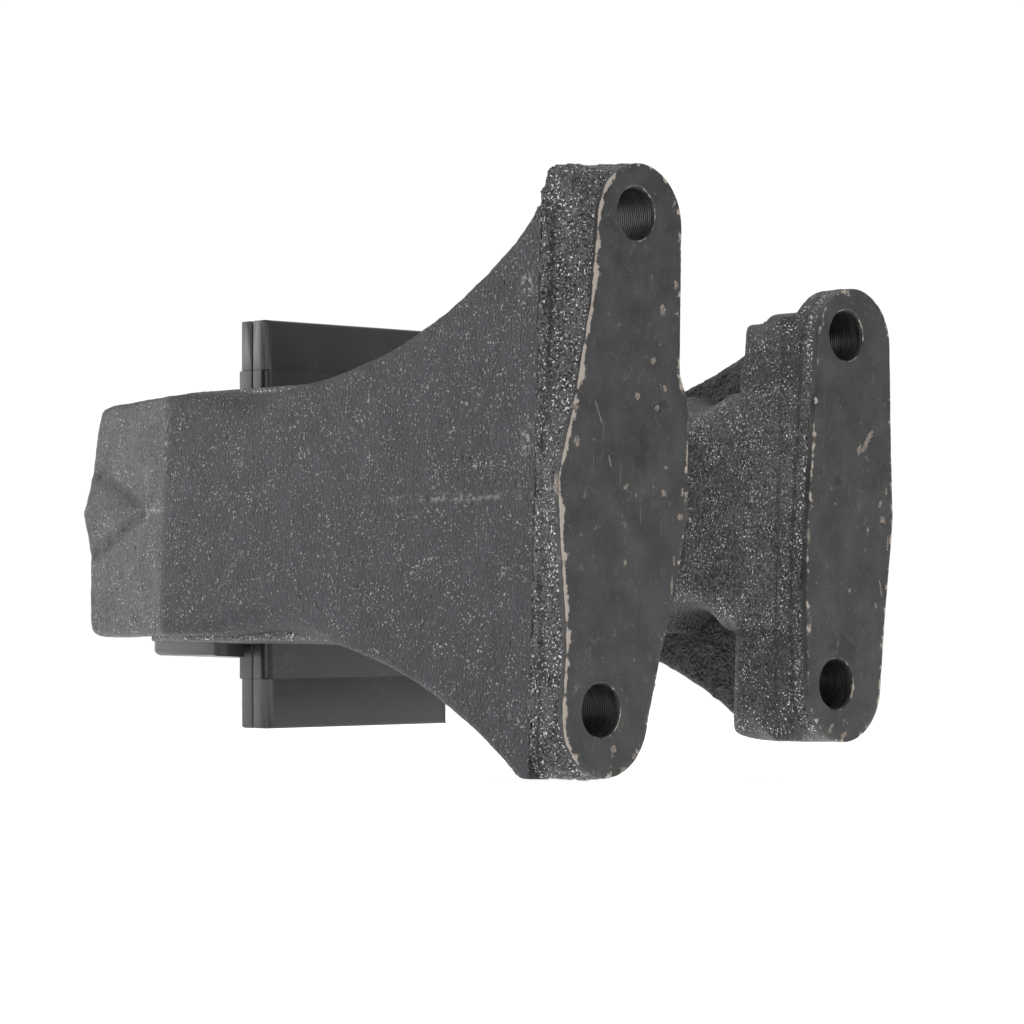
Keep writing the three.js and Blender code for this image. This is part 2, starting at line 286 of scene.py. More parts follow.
def castMaterial(name, values, bump):
    # painted cast iron, with the tones and grain that are given, painted shade along creases and bare worn spots;
    # the bump is in millimetres
    material, tree, surface = startMaterial(name)
    skin = grouped(tree, castSkin, values)
    crease = node(tree, "ShaderNodeAttribute", attribute_name="crease").outputs["Fac"]
    bare = node(tree, "ShaderNodeAttribute", attribute_name="bare").outputs["Fac"]
    coords = node(tree, "ShaderNodeTexCoord").outputs["Object"]
    patchiness = noise(tree, coords, castWearAndShade["scale"], 3.0)
    # painted shade: creases and pits darken towards the crease colour
    paintedCreaseShade = maths(tree, "MULTIPLY", crease, remap(tree, patchiness, 0.35, 0.55, 0.3, 1.0))
    color = blendColor(tree, paintedCreaseShade, skin["Color"], castWearAndShade["crease"])
    scuffed = maths(tree, "MULTIPLY", bare, remap(tree, patchiness, 0.5, 0.6))
    color = blendColor(tree, scuffed, color, castWearAndShade["bare"])
    tree.links.new(color, surface.inputs["Base Color"])
    tree.links.new(skin["Roughness"], surface.inputs["Roughness"])
    surface.inputs["Specular IOR Level"].default_value = castWearAndShade["gloss"]
    relief = node(tree, "ShaderNodeBump", {"Strength": 1.0, "Distance": bump * mm, "Height": skin["Height"]})
    tree.links.new(relief.outputs[0], surface.inputs["Normal"])
    return material


def spotDistance(tree, coords, spots):
    # smallest distance to any spot, in spot sizes; a spot is (y, z, half width, half height, lean in degrees)
    nearest = None
    for y, z, wide, tall, lean in spots:
        laid = node(tree, "ShaderNodeMapping",
                    {"Vector": coords, "Location": (0, y * mm, z * mm), "Rotation": (math.radians(-lean), 0, 0),
                     "Scale": (1, wide * mm, tall * mm)}, vector_type="TEXTURE").outputs[0]
        flat = node(tree, "ShaderNodeVectorMath", {0: laid, 1: (0, 1, 1)}, operation="MULTIPLY").outputs[0]
        length = node(tree, "ShaderNodeVectorMath", {0: flat}, operation="LENGTH").outputs["Value"]
        nearest = length if nearest is None else maths(tree, "MINIMUM", nearest, length)
    return nearest


machinedFace = {
    "tone": 0.03, "lightTone": 0.058, "wear": (0.36, 0.3, 0.24, 1), "rim": (0.5, 0.44, 0.38, 1), "roughness": 0.4,
    "smudge": gray(0.012), "scuff": gray(0.2, (1.0, 0.97, 0.94)), "scratch": gray(0.28, (1.0, 0.96, 0.92)),
    "rust": gray(0.13, (1.0, 0.93, 0.87)),
    "nearSpots": [  # y, z, half width, half height, lean
        (-15.3, 20.0, 1.4, 4.2, 10), (-16.9, 11.5, 0.9, 3.6, 6), (-17.8, 4.0, 0.6, 4.0, 0),
        (-12.6, 12.2, 0.8, 1.0, 0), (-13.2, 19.0, 0.8, 1.0, 20), (-10.3, 52.0, 0.5, 2.0, 5),
        (-8.3, 66.5, 0.5, 1.9, -40), (-6.5, 18.3, 0.14, 3.4, -25), (-3.0, 8.6, 0.25, 1.5, -20),
        (1.8, 3.8, 0.9, 0.45, -40), (13.1, 3.2, 0.9, 0.8, 30), (18.0, -1.5, 1.0, 0.6, 0),
        (2.0, -11.7, 0.5, 0.8, 20), (16.5, -10.5, 0.35, 1.3, 0), (16.0, -15.7, 0.35, 1.6, 0),
        (11.6, 41.0, 0.8, 1.2, 0), (15.4, 46.5, 0.6, 0.9, 0), (-0.4, -49.8, 0.8, 1.2, 20),
        (3.2, -53.8, 1.3, 0.6, 10), (-16.5, -11.9, 0.5, 1.3, 0), (10.6, 20.6, 0.7, 0.6, 0),
        (4.6, 22.5, 0.7, 0.9, 20), (9.0, 30.2, 0.8, 0.8, 0), (12.6, 24.8, 0.8, 0.7, 0),
        (-16.0, -22.0, 0.3, 5.0, -3), (13.5, 8.5, 0.6, 0.4, 0), (5.9, -51.0, 0.8, 0.6, 0),
        (18.6, 3.5, 0.4, 0.9, 0),
    ],
    "farSpots": [
        (77.2, 18.2, 0.7, 3.4, 35), (74.6, 16.2, 0.8, 1.1, 30), (82.9, 1.2, 1.0, 0.8, 20),
        (81.9, 4.6, 0.4, 1.2, 30), (77.9, -1.3, 0.35, 0.9, 0), (71.0, -46.2, 1.3, 0.6, -30),
        (66.6, -44.8, 0.5, 1.3, 30), (82.6, -14.2, 0.25, 2.2, -15), (81.0, -17.8, 0.35, 0.9, 0),
        (72.2, -14.6, 0.4, 0.6, 0), (83.9, 7.6, 0.35, 1.1, 10), (67.0, 4.0, 0.35, 0.35, 0),
        (58.4, -3.5, 0.45, 1.6, 0), (84.6, -4.0, 0.3, 1.8, 0),
    ],
    "nearSmudges": [(6.8, 13.3, 1.1, 4.6, -4), (11.5, 21.0, 2.2, 1.2, 0), (5.0, 9.0, 0.8, 2.0, 0)],
    "farSmudges": [(71.0, -28.0, 5.0, 3.0, 20), (67.5, 9.0, 1.2, 1.6, 0)],
}


def machinedMaterial(name, spots, smudges):
    # flat milled face under thin paint, chipped to a rusty beige
    values = machinedFace
    material, tree, surface = startMaterial(name)
    coords = node(tree, "ShaderNodeTexCoord").outputs["Object"]
    cloud = noise(tree, coords, 130.0, 5.0, 0.6)
    speckle = noise(tree, coords, 2600.0, 1.0)
    tone = maths(tree, "ADD", remap(tree, cloud, 0.35, 0.68), remap(tree, speckle, 0.3, 0.7, -0.25, 0.25), True)
    color = blendColor(tree, tone, gray(values["tone"]), gray(values["lightTone"]))
    near = spotDistance(tree, coords, smudges)
    dark = grouped(tree, chippedSpots, {"Distance": near, "Ragged": 0.9, "Scale": 380.0})["Mask"]
    color = blendColor(tree, maths(tree, "MULTIPLY", dark, 0.6), color, values["smudge"])
    scuff = noise(tree, coords, 420.0, 6.0, 0.7, 1.5)
    color = blendColor(tree, remap(tree, scuff, 0.57, 0.72, 0.0, 0.35), color, values["scuff"])
    hair = grouped(tree, hairScratches, {"Amount": 0.3, "Scale": 75.0})["Mask"]
    color = blendColor(tree, hair, color, values["scratch"])
    near = spotDistance(tree, coords, spots)
    chip = grouped(tree, chippedSpots, {"Distance": near, "Ragged": 0.75, "Scale": 1100.0})["Mask"]
    edge = node(tree, "ShaderNodeAttribute", attribute_name="rim").outputs["Fac"]
    patchiness = noise(tree, coords, 330.0, 6.0, 0.65)
    ragged = maths(tree, "ADD", edge, remap(tree, patchiness, 0.34, 0.66, -0.6, 0.5))
    rim = remap(tree, ragged, 0.45, 0.65)
    color = blendColor(tree, maths(tree, "MULTIPLY", rim, 0.8), color, values["rim"])
    warm = noise(tree, coords, 1600.0, 2.0)
    bare = blendColor(tree, remap(tree, warm, 0.35, 0.65), values["wear"], values["rust"])
    color = blendColor(tree, maths(tree, "MULTIPLY", chip, 0.85), color, bare)
    tree.links.new(color, surface.inputs["Base Color"])
    smooth = remap(tree, cloud, 0.3, 0.7, values["roughness"] - 0.05, values["roughness"] + 0.1)
    rough = maths(tree, "ADD", smooth, maths(tree, "MULTIPLY", chip, 0.25))
    tree.links.new(rough, surface.inputs["Roughness"])
    lift = maths(tree, "SUBTRACT", maths(tree, "MULTIPLY", cloud, 0.6), maths(tree, "ADD", chip, hair))
    relief = node(tree, "ShaderNodeBump", {"Strength": 0.7, "Distance": 0.05 * mm, "Height": lift})
    tree.links.new(relief.outputs[0], surface.inputs["Normal"])
    return material


insertFinish = {
    # the plate's tone is a darker copy of the core's: painted shade
    "plate": {"tone": 0.012, "roughness": 0.4, "mottle": 2.0},
    "core": {"tone": 0.028, "roughness": 0.34, "mottle": 1.9},
    "dust": gray(0.22, (1.0, 0.97, 0.9)), "gloss": 0.95,
}


def insertMaterial(name, values):
    # smooth moulded surface, satin and a little blotchy
    material, tree, surface = startMaterial(name)
    coords = node(tree, "ShaderNodeTexCoord").outputs["Object"]
    cloud = noise(tree, coords, 70.0, 6.0, 0.62)
    fine = noise(tree, coords, 1900.0, 2.0)
    mix = maths(tree, "ADD", remap(tree, cloud, 0.35, 0.7), remap(tree, fine, 0.3, 0.7, -0.2, 0.2), True)
    deep = gray(values["tone"], (1.0, 1.0, 1.02))
    pale = gray(values["tone"] * values["mottle"], (1.02, 1.0, 0.98))
    color = blendColor(tree, mix, deep, pale)
    dust = maths(tree, "MULTIPLY", remap(tree, cloud, 0.58, 0.72), remap(tree, fine, 0.52, 0.62))
    color = blendColor(tree, maths(tree, "MULTIPLY", dust, 0.35), color, insertFinish["dust"])
    tree.links.new(color, surface.inputs["Base Color"])
    rough = remap(tree, cloud, 0.3, 0.7, values["roughness"] - 0.06, values["roughness"] + 0.12)
    tree.links.new(rough, surface.inputs["Roughness"])
    surface.inputs["Specular IOR Level"].default_value = insertFinish["gloss"]
    lift = maths(tree, "ADD", cloud, maths(tree, "MULTIPLY", fine, 0.12))
    relief = node(tree, "ShaderNodeBump", {"Strength": 0.6, "Distance": 0.08 * mm, "Height": lift})
    tree.links.new(relief.outputs[0], surface.inputs["Normal"])
    return material


boreWall = {"dark": gray(0.006), "light": gray(0.05), "ringScale": 2400.0, "ringStretch": 0.08, "metallic": 0.15}


def boreMaterial(name):
    # drilled wall: bare steel rings under thin paint
    values = boreWall
    material, tree, surface = startMaterial(name)
    coords = node(tree, "ShaderNodeTexCoord").outputs["Object"]
    stretch = (1, values["ringStretch"], values["ringStretch"])
    rings = node(tree, "ShaderNodeMapping", {"Vector": coords, "Scale": stretch}).outputs[0]
    lines = noise(tree, rings, values["ringScale"], 3.0)
    color = blendColor(tree, remap(tree, lines, 0.35, 0.65), values["dark"], values["light"])
    tree.links.new(color, surface.inputs["Base Color"])
    tree.links.new(remap(tree, lines, 0.3, 0.7, 0.3, 0.5), surface.inputs["Roughness"])
    surface.inputs["Metallic"].default_value = values["metallic"]
    return material


finishes = {  # fan and head: the near wall, the head a lighter copy with painted light; web and lug: the ribs, the web a lighter copy with painted light; band: pad edges; dark: a darker copy with painted shade for recesses
    "fan": {"Dark": gray(0.003, (0.95, 0.95, 1.2)), "Light": gray(0.044, (0.95, 0.95, 1.22)), "Speck": gray(0.38),
            "Grain Scale": 1700.0, "Stroke": 0.6, "Speck Scale": 2100.0, "Speck Level": 0.67, "Pit Share": 0.03,
            "Base Roughness": 0.46},
    "headPaintedLight": {"Dark": gray(0.003), "Light": gray(0.15), "Speck": gray(0.8), "Grain Scale": 1900.0, "Stroke": 0.7,
             "Speck Scale": 2100.0, "Speck Level": 0.68, "Pit Share": 0.03, "Base Roughness": 0.46},
    "webPaintedLight": {"Dark": gray(0.018), "Light": gray(0.17), "Speck": gray(1.0), "Grain Scale": 1900.0, "Stroke": 0.85,
            "Speck Scale": 2300.0, "Speck Level": 0.645, "Pit Share": 0.03, "Base Roughness": 0.45},
    "lug": {"Dark": gray(0.006), "Light": gray(0.1), "Speck": gray(1.0), "Grain Scale": 1900.0, "Stroke": 0.85,
            "Speck Scale": 2300.0, "Speck Level": 0.66, "Pit Share": 0.03, "Base Roughness": 0.45},
    "band": {"Dark": gray(0.002), "Light": gray(0.17), "Speck": gray(1.0), "Grain Scale": 1900.0, "Stroke": 0.9,
             "Speck Scale": 2200.0, "Speck Level": 0.63, "Pit Share": 0.06, "Base Roughness": 0.4},
    "dark": {"Dark": gray(0.004), "Light": gray(0.08), "Speck": gray(0.3), "Grain Scale": 1300.0, "Stroke": 0.8,
             "Speck Scale": 1900.0, "Speck Level": 0.7, "Pit Share": 0.04, "Base Roughness": 0.45},
}
castBump = {"fan": 0.5, "headPaintedLight": 0.5, "webPaintedLight": 0.35, "lug": 0.4, "band": 0.6, "dark": 0.45}
paint = {name: castMaterial(name + "Paint", finishes[name], castBump[name]) for name in finishes}
nearFacePaint = machinedMaterial("nearFacePaint", machinedFace["nearSpots"], machinedFace["nearSmudges"])
farFacePaint = machinedMaterial("farFacePaint", machinedFace["farSpots"], machinedFace["farSmudges"])
plateFinishPaintedShade = insertMaterial("plateFinishPaintedShade", insertFinish["plate"])
coreFinish = insertMaterial("coreFinish", insertFinish["core"])
boreFinish = boreMaterial("boreFinish")
print("materials ready")


# mesh helpers
def cadCopy(name, nodes):
    # one welded mesh of the named CAD nodes
    shape = bmesh.new()
    for cadNode in nodes:
        shape.from_mesh(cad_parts[cadNode].data)
    bmesh.ops.remove_doubles(shape, verts=shape.verts, dist=1e-6)
    bmesh.ops.recalc_face_normals(shape, faces=shape.faces)
    mesh = bpy.data.meshes.new(name)
    shape.to_mesh(mesh)
    shape.free()
    piece = bpy.data.objects.new(name, mesh)
    bpy.context.scene.collection.objects.link(piece)
    return piece


def settle(piece):
    # turns the modifiers' result into the piece's own mesh
    graph = bpy.context.evaluated_depsgraph_get()
    mesh = bpy.data.meshes.new_from_object(piece.evaluated_get(graph))
    piece.modifiers.clear()
    piece.data = mesh
    mesh.name = piece.name


def reskin(piece, fatten, voxel):
    # closes the joints between the copied nodes and gives an even mesh
    places = readPlaces(piece.data)
    writePlaces(piece.data, places + readNormals(piece.data) * fatten)
    skin = piece.modifiers.new("skin", "REMESH")
    skin.mode = "VOXEL"
    skin.voxel_size = voxel
    settle(piece)


def readPlaces(mesh):
    places = np.empty(len(mesh.vertices) * 3)
    mesh.vertices.foreach_get("co", places)
    return places.reshape(-1, 3)


def writePlaces(mesh, places):
    kept = np.clip(places, np.array(cadLow) + 0.01 * mm, np.array(cadHigh))  # never past the CAD's box
    mesh.vertices.foreach_set("co", kept.ravel())
    mesh.update()


def readNormals(mesh):
    normals = np.empty(len(mesh.vertices) * 3)
    mesh.vertices.foreach_get("normal", normals)
    return normals.reshape(-1, 3)


def relax(mesh, places, rounds, weight=1.0, pull=0.5):
    # each point moves towards the middle of its neighbours
    ends = np.empty(len(mesh.edges) * 2, np.int32)
    mesh.edges.foreach_get("vertices", ends)
    first, second = ends.reshape(-1, 2).T
    size = len(places)
    share = (np.broadcast_to(weight, size) * pull / np.maximum(np.bincount(ends, minlength=size), 1))[:, None]
    amount = np.broadcast_to(weight, size)[:, None] * pull
    places = places.copy()
    for _ in range(rounds):
        total = np.stack([
            np.bincount(first, places[second, axis], size) + np.bincount(second, places[first, axis], size)
            for axis in range(3)
        ], axis=1)
        places += total * share - places * amount
    return places


def lumps(places, cell, seed):
    # smooth random values from -1 to 1, changing over the cell size
    table = np.random.default_rng(seed).uniform(-1, 1, (32, 32, 32))
    grid = places / cell
    base = np.floor(grid).astype(int)
    part = grid - base
    part = part * part * (3 - 2 * part)
    total = np.zeros(len(places))
    for corner in np.ndindex(2, 2, 2):
        weight = np.prod(np.where(np.array(corner, bool), part, 1 - part), axis=1)
        spot = (base + np.array(corner)) % 32
        total += weight * table[spot[:, 0], spot[:, 1], spot[:, 2]]
    return total


def roundOver(places, inset, radius, depth):
    # moves a flat side's points inwards, so that the edge they end at becomes a round of the given radius
    room = np.clip(radius - inset, 0, radius)
    sink = radius - np.sqrt(np.maximum(radius * radius - room * room, 0))
    return np.where(depth < radius, np.maximum(depth, sink), depth)


def bell(distance, width):
    return np.exp(-(distance / width) ** 2)


def ramp(value, low, high):
    return np.clip((value - low) / (high - low), 0, 1)


def layered(places, waves):
    # lumps of several sizes together; each wave is (height, size, seed)
    return sum(height * lumps(places, size, seed) for height, size, seed in waves)


def paintFaces(mesh, materials, chooser):
    # the chooser gives a material number for each face from its middle and normal
    for material in materials:
        mesh.materials.append(material)
    count = len(mesh.polygons)
    middles, normals = np.empty(count * 3), np.empty(count * 3)
    mesh.polygons.foreach_get("center", middles)
    mesh.polygons.foreach_get("normal", normals)
    numbers = chooser(middles.reshape(-1, 3), normals.reshape(-1, 3)).astype(np.int32)
    mesh.polygons.foreach_set("material_index", numbers)
    mesh.polygons.foreach_set("use_smooth", np.ones(count, bool))
    mesh.update()


def mark(mesh, name, values):
    mesh.attributes.new(name, "FLOAT", "POINT").data.foreach_set("value", values.astype(np.float32))


# outer walls
wallFront = {  # where a wall meets its pad: it stays sharp, then flat, then runs into the pad
    "sharp": (-11.5 * mm, -10 * mm), "flat": (-9.4 * mm, -9 * mm), "run": (-9.6 * mm, -9 * mm), "into": 0.5 * mm,
}
nearWall = {
    "voxel": 0.8 * mm, "fatten": 0.05 * mm, "rounds": 5,
    "neckTop": 27.2 * mm, "neckBottom": -27.4 * mm, "flareFrom": -93 * mm,
    "arcTop": 122 * mm, "arcBottom": 127 * mm,  # radii of the flare's two arcs
    "rootX": -128 * mm, "faceY": -16 * mm, "slant": 12.6 / 43,
    "rim": 1.8 * mm, "rimStart": (10 * mm, 14 * mm),  # rounding along the upper and lower edges
    "neckRim": 6.5 * mm, "neckAbove": (-99 * mm, 11 * mm), "neckBelow": (-91 * mm, 19 * mm),  # larger at the neck
    "endRounds": 30, "endZone": (162 * mm, 168 * mm), "endCorners": (12 * mm, 22 * mm), "endMiddle": (0.12, 0.88),
    "endFull": 1.6 * mm, "fullZone": (160 * mm, 168 * mm), "fullBelow": (12 * mm, 24 * mm),
    "waves": [(0.11 * mm, 1.9 * mm, 3), (0.13 * mm, 7 * mm, 4), (0.07 * mm, 1.1 * mm, 8)],  # height, size, seed
    "ridge": 0.3 * mm, "ridgeWidth": 0.6 * mm, "partingZ": 1.0 * mm, "headX": -129 * mm,
    "wedge": 2.4 * mm, "wedgeHalf": 10.0 * mm, "wedgeLength": 31 * mm, "tip": (-139 * mm, 1.4 * mm),
    "groove": 0.6 * mm, "grooveWidth": 1.5 * mm, "holeSize": 0.75 * mm,
    "bareSpots": [  # x, z, half width, half height, strength
        (-31, 1.4, 19, 0.8, 0.5), (-134, 1.2, 5.5, 0.6, 1.0), (-128.5, 17, 1.1, 9, 0.6),
        (-12, 45, 1.6, 2.2, 1.0), (-11, 12.5, 1.4, 3, 0.8), (-101.5, 10.6, 1.0, 0.8, 0.5),
        (-100, -9.0, 0.9, 0.8, 0.5),
    ],
    "holeSpots": [
        (-101.7, 9.9), (-99.9, -9.8), (-76.7, 0.5), (-75.1, -8.4), (-168, 9.6),
        (-160, 7.6), (-152, 5.2), (-163, -7.2), (-155, -4.8),
    ],
}


def meetPad(places, normals, rise):
    places = places + normals * (rise * (1 - ramp(places[:, 0], *wallFront["flat"])))[:, None]
    places[:, 0] += ramp(places[:, 0], *wallFront["run"]) * wallFront["into"]
    return places


def roundEdges(piece, values):
    # bends the outer face inwards along the wall's curved upper and lower edges
    places = readPlaces(piece.data)
    x, y, z = places.T
    flare = np.clip(x - values["flareFrom"], 0, None)
    above = values["neckTop"] + values["arcTop"] - np.sqrt(values["arcTop"] ** 2 - flare ** 2) - z
    below = z - values["neckBottom"] + values["arcBottom"] - np.sqrt(values["arcBottom"] ** 2 - flare ** 2)
    (topX, topWidth), (bottomX, bottomWidth) = values["neckAbove"], values["neckBelow"]
    neck = np.where(z > 0, bell(x - topX, topWidth), bell(x - bottomX, bottomWidth))
    radius = (values["rim"] + values["neckRim"] * neck) * ramp(-x, *values["rimStart"]) + 0.01 * mm
    face = values["faceY"] + np.clip(values["rootX"] - x, 0, None) * values["slant"]
    places[:, 1] = face + roundOver(places, np.minimum(above, below), radius, y - face)
    writePlaces(piece.data, places)


def makeNearWall():
    values = nearWall
    piece = cadCopy("near_outer_wall_cast", ["near_outer_wall"])
    reskin(piece, values["fatten"], values["voxel"])
    roundEdges(piece, values)
    reskin(piece, 0.0, values["voxel"])
    mesh = piece.data
    places = readPlaces(mesh)
    base, more = values["endMiddle"]  # the far end is soft at its corners and full in the middle
    corner = base + more * ramp(np.abs(places[:, 2]), *values["endCorners"])
    corner = ramp(-places[:, 0], *values["endZone"]) * corner
    places = relax(mesh, places, values["rounds"], 1 - ramp(places[:, 0], *wallFront["sharp"]))
    places = relax(mesh, places, values["endRounds"], corner)
    full = ramp(-places[:, 0], *values["fullZone"]) * (1 - ramp(places[:, 2], *values["fullBelow"]))
    places[:, 0] -= values["endFull"] * full
    writePlaces(mesh, places)
    normals = readNormals(mesh)
    x, y, z = places.T
    rise = layered(places, values["waves"])
    line = bell(z - values["partingZ"], values["ridgeWidth"]) * (normals[:, 1] < -0.7) * (x > values["headX"])
    rise = rise + values["ridge"] * line * (0.55 + 0.7 * lumps(places, 3 * mm, 5))
    tipX, tipZ = values["tip"]
    away = ramp(-x, -tipX, -tipX + values["wedgeLength"])  # 0 at the wedge's tip, 1 at the back
    half = away * values["wedgeHalf"]
    side = np.abs(z - tipZ)
    onHead = (x < values["headX"]) & (normals[:, 1] < -0.4)
    slope = values["wedge"] * away * (1 - side / np.maximum(half, 1e-6))
    rise = rise + np.where((side < half) & onHead, slope, 0)
    crease = bell(side - half, values["grooveWidth"]) * (away > 0.02) * onHead
    rise = rise - values["groove"] * crease * (0.75 + 0.5 * lumps(places, 2 * mm, 6)) * (1 - away ** 6)
    places = meetPad(places, normals, rise - values["fatten"])
    writePlaces(mesh, places)
    x, y, z = places.T
    outside = normals[:, 1] < 0
    # painted shade: the wedge's grooves and the small pits are marked to be darkened in colour
    dark = crease * (0.9 + 0.5 * lumps(places, 2.2 * mm, 9))
    for cx, cz in values["holeSpots"]:
        dark = np.maximum(dark, 1.3 * bell(np.hypot(x - cx * mm, z - cz * mm), values["holeSize"]))
    bare = np.zeros(len(places))
    for cx, cz, wide, tall, strength in values["bareSpots"]:
        spread = bell(np.hypot((x - cx * mm) / wide, (z - cz * mm) / tall), 1.0 * mm)
        bare = np.maximum(bare, strength * spread)
    mark(mesh, "crease", np.clip(dark, 0, 1) * outside)
    mark(mesh, "bare", bare * outside)
    # inner faces take the dark copy, painted shade; the head takes the lighter copy, painted light
    paintFaces(mesh, [paint["fan"], paint["dark"], paint["headPaintedLight"]], lambda middle, normal: np.where(
        normal[:, 1] > 0.5, 1, np.where(middle[:, 0] < values["headX"], 2, 0)))
    return piece


farWall = {
    "voxel": 0.8 * mm, "fatten": 0.05 * mm, "rounds": 9, "grain": 0.2 * mm, "innerGrain": 1.4, "outerGrain": 0.7,
    "waves": [(0.2 * mm, 5 * mm, 14), (0.1 * mm, 1.1 * mm, 15)],
}


def makeFarWall():
    values = farWall
    piece = cadCopy("far_outer_wall_cast", ["far_outer_wall"])
    reskin(piece, values["fatten"], values["voxel"])
    mesh = piece.data
    places = readPlaces(mesh)
    places = relax(mesh, places, values["rounds"], 1 - ramp(places[:, 0], *wallFront["sharp"]))
    writePlaces(mesh, places)
    normals = readNormals(mesh)
    grain = np.where(normals[:, 1] < -0.5, values["innerGrain"], values["outerGrain"])
    rise = lumps(places, 1.9 * mm, 13) * values["grain"] * grain
    rise = rise + layered(places, values["waves"])
    writePlaces(mesh, meetPad(places, normals, rise - values["fatten"]))
    # faces turned towards the inside take the dark copy: painted shade
    paintFaces(mesh, [paint["fan"], paint["dark"]], lambda middle, normal: (normal[:, 1] < 0.5))
    return piece


# ribs, each with the rough part of its flange pad
ribSkin = {
    "joint": -9.5 * mm, "sideStart": (9 * mm, 17 * mm),  # behind the pad, and where its side starts to be rounded
    "notchFront": (17 * mm, 22 * mm), "notchBack": (-56 * mm, -48 * mm), "notchFrom": 16 * mm,
    "sharp": (-2.5 * mm, -1.5 * mm), "coarse": 1.25 * mm, "crumb": 2.6 * mm, "wave": 0.1 * mm, "waveSize": 5 * mm,
    "footAt": 7.9 * mm, "footWidth": 0.9 * mm, "behind": 0.6 * mm, "boreClear": 6.2 * mm,
    "innerCrease": 9.4 * mm,
}
nearRib = {
    "voxel": 0.62 * mm, "fatten": 0.2 * mm, "rounds": 5, "notchRounds": 10, "grain": 0.26 * mm, "seed": 21,
    "wallSide": -10.1 * mm, "outward": -1, "holes": [(3.3, 60.06), (-3.86, -41.84)], "ridge": 0.5 * mm,
    "edge": 0.0, "bandDepth": 9 * mm, "creaseDepth": 5.9 * mm,
    "webMiddle": 5 * mm, "webHalf": 200 * mm,  # the web's lighter finish, with painted light, covers the whole rib
}
farRib = {
    "voxel": 0.58 * mm, "fatten": 0.2 * mm, "rounds": 5, "notchRounds": 6, "grain": 0.16 * mm, "seed": 31,
    "wallSide": 79.7 * mm, "outward": 1, "holes": [(69.7, 40.7), (68.5, -35.1)], "ridge": 0.0,
    "bandDepth": 3.5 * mm, "creaseDepth": 4.6 * mm, "webMiddle": 2.8 * mm, "webHalf": 26.5 * mm,
    "edge": 8 * mm, "webFrom": 59 * mm, "webSlopeFrom": -44 * mm, "webSlope": 12 / 68,
    "neckTop": 29.5 * mm, "neckBottom": -24 * mm, "blockX": -26 * mm, "blockTop": 44.8 * mm,
    "blockBottom": -47.8 * mm, "notch": 13.2 * mm, "notches": [(-37.8, 40), (-40.2, -32.2)],
}
faceDepth = 1.4 * mm  # how much of each pad belongs to the machined face piece


def ribInset(x, z, values):
    # how far a point of the rib's side is from the rib's outline, seen from the side
    neck = np.minimum(values["neckTop"] - z, z - values["neckBottom"])
    block = np.minimum.reduce([x - values["blockX"], values["blockTop"] - z, z - values["blockBottom"]])
    inset = np.maximum(neck, block)
    for cx, cz in values["notches"]:
        inset = np.minimum(inset, np.hypot(x - cx * mm, z - cz * mm) - values["notch"])
    return inset


def roundRibEdges(piece, values):
    # rounds the side of a rib that looks away from its wall
    places = readPlaces(piece.data)
    x, y, z = places.T
    behind = x < ribSkin["joint"]
    side = values["webFrom"] + np.clip(values["webSlopeFrom"] - x, 0, None) * values["webSlope"]
    radius = values["edge"] * ramp(-x, *ribSkin["sideStart"]) + 0.01 * mm
    depth = np.where(behind, y - side, 1.0)
    rounded = side + roundOver(places, ribInset(x, z, values), radius, depth)
    places[:, 1] = np.where(behind, rounded, y)
    writePlaces(piece.data, places)


